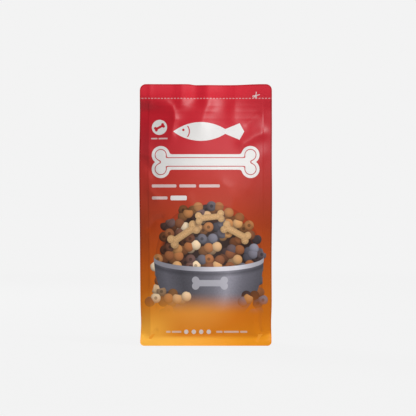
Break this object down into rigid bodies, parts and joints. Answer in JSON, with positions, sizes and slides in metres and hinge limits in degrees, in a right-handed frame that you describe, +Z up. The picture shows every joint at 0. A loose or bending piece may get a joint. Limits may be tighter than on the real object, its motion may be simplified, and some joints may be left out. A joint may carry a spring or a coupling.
{
  "type": "stand-up pet food pouch",
  "caption": "Filled flat-bottom film pouch with side gussets, sealed fins down its edges and a flat, heat-sealed top with a marked cut line.",
  "frame": {"origin": "centre of the area the pouch stands on, at floor level", "axes": "+Z up to the top seal, +X to the right across the front panel, -Y out of the front panel"},
  "size_m": [0.132, 0.0731, 0.26],
  "materials": {
    "printed_film": "soft-touch laminate film with a low sheen, printed from crimson at the top to orange at the bottom"
  },
  "bodies": {
    "root": {"pouch": "printed_film"}
  },
  "joints": []
}
